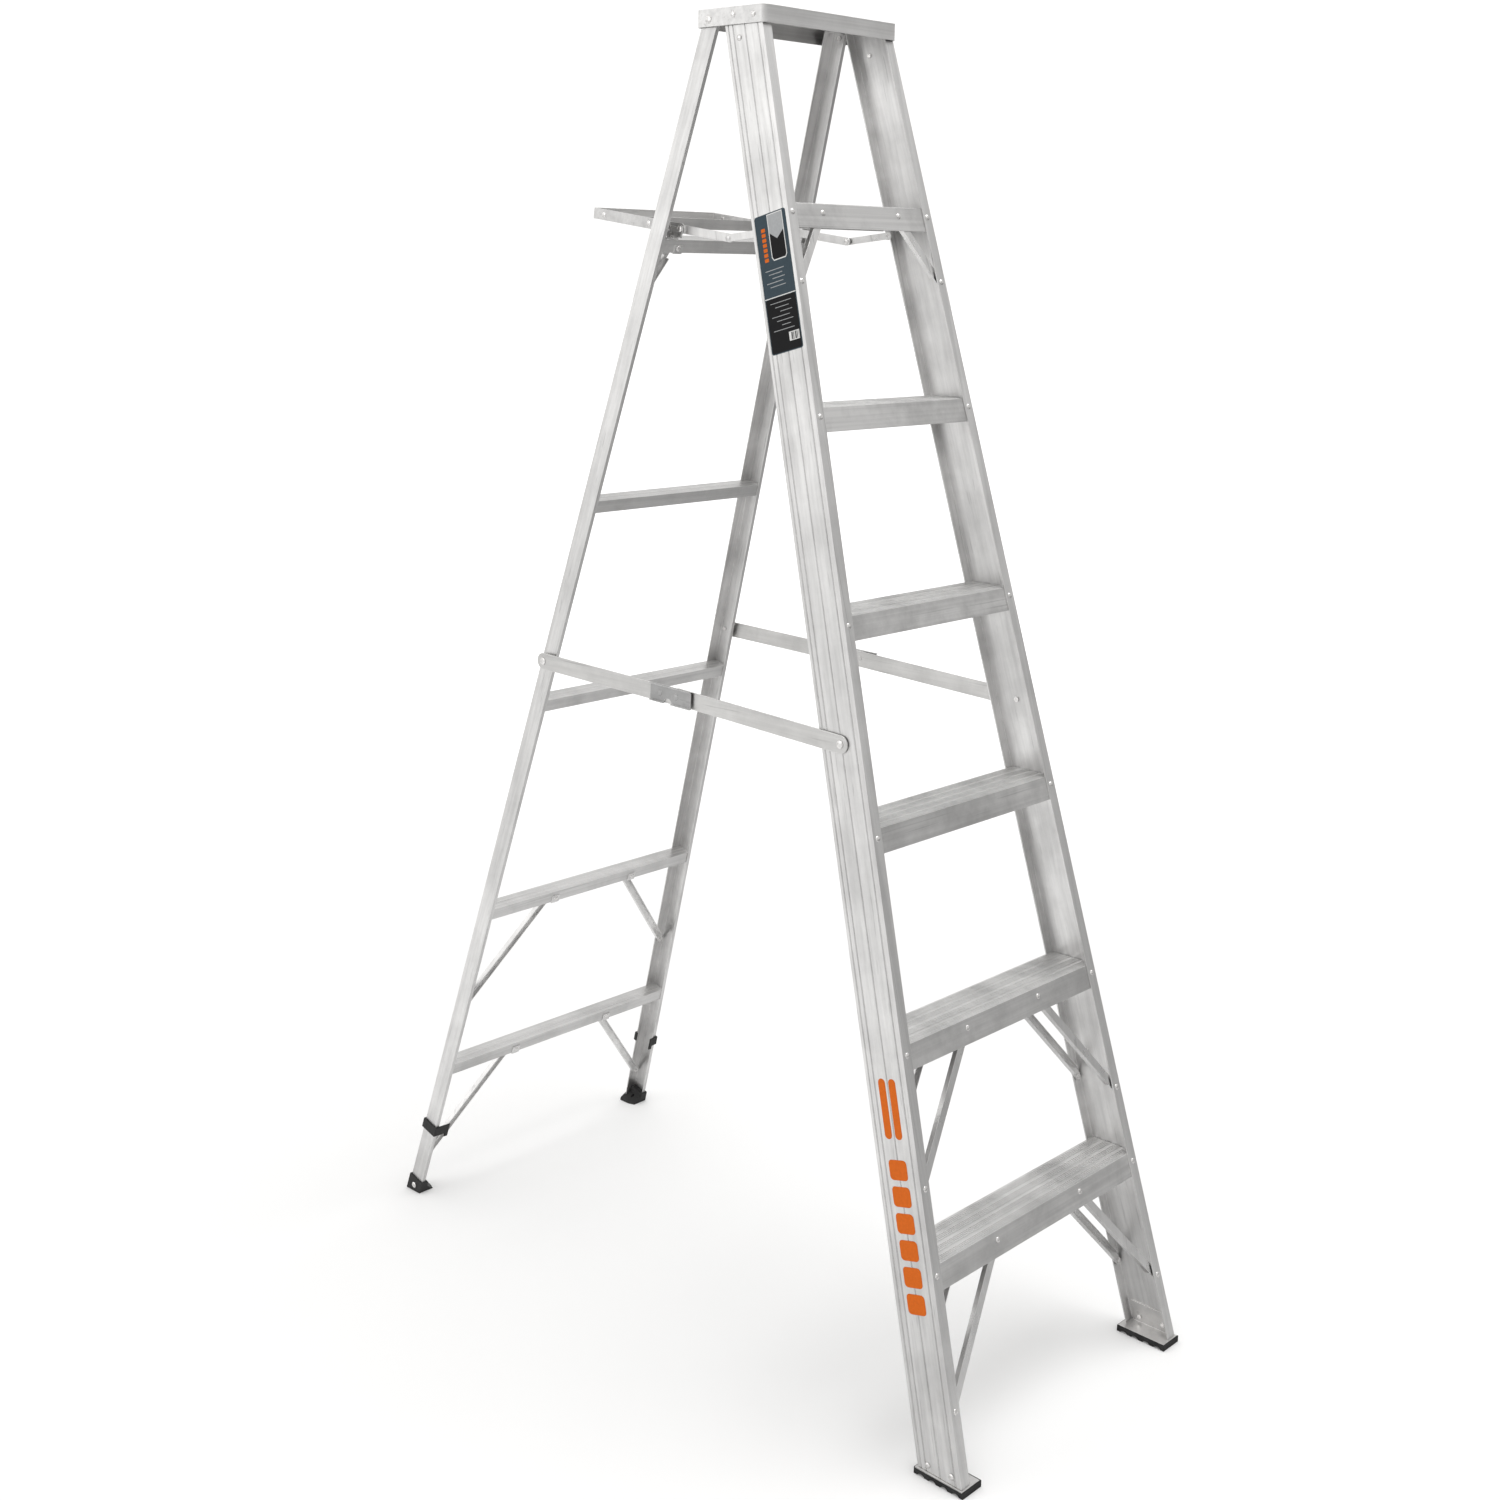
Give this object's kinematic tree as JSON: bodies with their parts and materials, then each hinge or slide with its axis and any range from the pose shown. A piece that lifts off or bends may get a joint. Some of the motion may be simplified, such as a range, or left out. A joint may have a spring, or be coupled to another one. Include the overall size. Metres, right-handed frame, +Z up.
{
  "type": "folding stepladder",
  "caption": "Folding A-frame stepladder with ribbed steps, a channel top cap, a braced rear section, toggle spreaders and a small folding tray.",
  "frame": {"origin": "middle of the open ladder's footprint, on the floor", "axes": "+X to the climber's right, across the steps; +Y from the climbing side to the rear; +Z up"},
  "size_m": [0.5714, 1.2634, 2.058],
  "materials": {
    "cap_aluminium": "brushed sheet, lightly scuffed",
    "rail_aluminium": "mill finish extrusion, faint lengthwise grain",
    "rear_rail_aluminium": "mill finish extrusion",
    "step_aluminium": "mill finish with ribbed tread",
    "bar_aluminium": "mill finish sheet",
    "brace_aluminium": "mill finish pressed strip",
    "foot_plate_aluminium": "mill finish plate",
    "tray_aluminium": "mill finish sheet",
    "black_plastic": "moulded, satin black",
    "black_rubber": "moulded, matt black",
    "rivet_steel": "bright zinc-plated rivets and pins",
    "label_film": "printed film, unlettered",
    "lock_steel": "zinc-plated pressing",
    "spreader_steel": "zinc-plated strip"
  },
  "bodies": {
    "front_section": {"top_cap": "cap_aluminium", "front_rail_left": "rail_aluminium", "front_rail_right": "rail_aluminium", "step_1": "step_aluminium", "step_2": "step_aluminium", "step_3": "step_aluminium", "step_4": "step_aluminium", "step_5": "step_aluminium", "step_6": "step_aluminium", "brace_1_front_left": "brace_aluminium", "brace_1_front_right": "brace_aluminium", "brace_1_rear_left": "brace_aluminium", "brace_1_rear_right": "brace_aluminium", "brace_2_front_left": "brace_aluminium", "brace_2_front_right": "brace_aluminium", "brace_2_rear_left": "brace_aluminium", "brace_2_rear_right": "brace_aluminium", "brace_6_front_left": "brace_aluminium", "brace_6_front_right": "brace_aluminium", "foot_plate_left": "foot_plate_aluminium", "foot_plate_right": "foot_plate_aluminium", "foot_pad_left": "black_rubber", "foot_pad_right": "black_rubber", "front_rivets": "rivet_steel", "front_pivot_pins": "rivet_steel", "rating_label": "label_film", "tray_step_brackets": "brace_aluminium"},
    "rear_section": {"rear_rail_left": "rear_rail_aluminium", "rear_rail_right": "rear_rail_aluminium", "rear_bar_1": "bar_aluminium", "rear_bar_2": "bar_aluminium", "rear_bar_3": "bar_aluminium", "rear_bar_4": "bar_aluminium", "rear_bar_5": "bar_aluminium", "rear_brace_1_left": "brace_aluminium", "rear_brace_1_right": "brace_aluminium", "rear_brace_2_left": "brace_aluminium", "rear_brace_2_right": "brace_aluminium", "rear_brace_5_left": "brace_aluminium", "rear_brace_5_right": "brace_aluminium", "rear_clip_left": "black_plastic", "rear_clip_right": "black_plastic", "rear_foot_left": "black_plastic", "rear_foot_right": "black_plastic", "rear_rivets": "rivet_steel", "rear_pivot_pins": "rivet_steel", "tray_hinge_brackets": "brace_aluminium"},
    "spreader_front_left": {"spreader_front_left": "spreader_steel"},
    "spreader_rear_left": {"spreader_rear_left": "spreader_steel", "spreader_lock_left": "lock_steel"},
    "tray_link_left": {"tray_link_left": "brace_aluminium"},
    "spreader_front_right": {"spreader_front_right": "spreader_steel"},
    "spreader_rear_right": {"spreader_rear_right": "spreader_steel", "spreader_lock_right": "lock_steel"},
    "tray_link_right": {"tray_link_right": "brace_aluminium"},
    "tray": {"tray": "tray_aluminium", "tray_arm_left": "brace_aluminium", "tray_arm_right": "brace_aluminium", "tray_rivets": "rivet_steel"}
  },
  "joints": [
    {"name": "fold", "type": "hinge", "parent": "front_section", "child": "rear_section", "pos_m": [0, 0.03106, 2.043], "axis": [-1, 0, 0], "range_deg": [0, 31.1]},
    {"name": "spreader_front_left_fold", "type": "hinge", "parent": "front_section", "child": "spreader_front_left", "pos_m": [0, -0.32074, 1], "axis": [1, 0, 0], "range_deg": [0, 81.1]},
    {"name": "spreader_rear_left_fold", "type": "hinge", "parent": "rear_section", "child": "spreader_rear_left", "pos_m": [0, 0.32764, 1.02012], "axis": [-1, 0, 0], "range_deg": [0, 53.2]},
    {"name": "tray_link_left_swing", "type": "hinge", "parent": "front_section", "child": "tray_link_left", "pos_m": [0, -0.08974, 1.72816], "axis": [-1, 0, 0], "range_deg": [0, 120.9]},
    {"name": "spreader_front_right_fold", "type": "hinge", "parent": "front_section", "child": "spreader_front_right", "pos_m": [0, -0.32074, 1], "axis": [1, 0, 0], "range_deg": [0, 81.1]},
    {"name": "spreader_rear_right_fold", "type": "hinge", "parent": "rear_section", "child": "spreader_rear_right", "pos_m": [0, 0.32764, 1.02012], "axis": [-1, 0, 0], "range_deg": [0, 53.2]},
    {"name": "tray_link_right_swing", "type": "hinge", "parent": "front_section", "child": "tray_link_right", "pos_m": [0, -0.08974, 1.72816], "axis": [-1, 0, 0], "range_deg": [0, 120.9]},
    {"name": "tray_fold", "type": "hinge", "parent": "rear_section", "child": "tray", "pos_m": [0, 0.09962, 1.73188], "axis": [1, 0, 0], "range_deg": [0, 72.7]}
  ],
  "couplings": [
    {"joint": "spreader_front_left_fold", "follows": "fold", "ratio": 2.6069},
    {"joint": "spreader_rear_left_fold", "follows": "fold", "ratio": 1.7089},
    {"joint": "tray_link_left_swing", "follows": "fold", "ratio": 3.8827},
    {"joint": "spreader_front_right_fold", "follows": "fold", "ratio": 2.6069},
    {"joint": "spreader_rear_right_fold", "follows": "fold", "ratio": 1.7089},
    {"joint": "tray_link_right_swing", "follows": "fold", "ratio": 3.8827},
    {"joint": "tray_fold", "follows": "fold", "ratio": 2.3344}
  ]
}
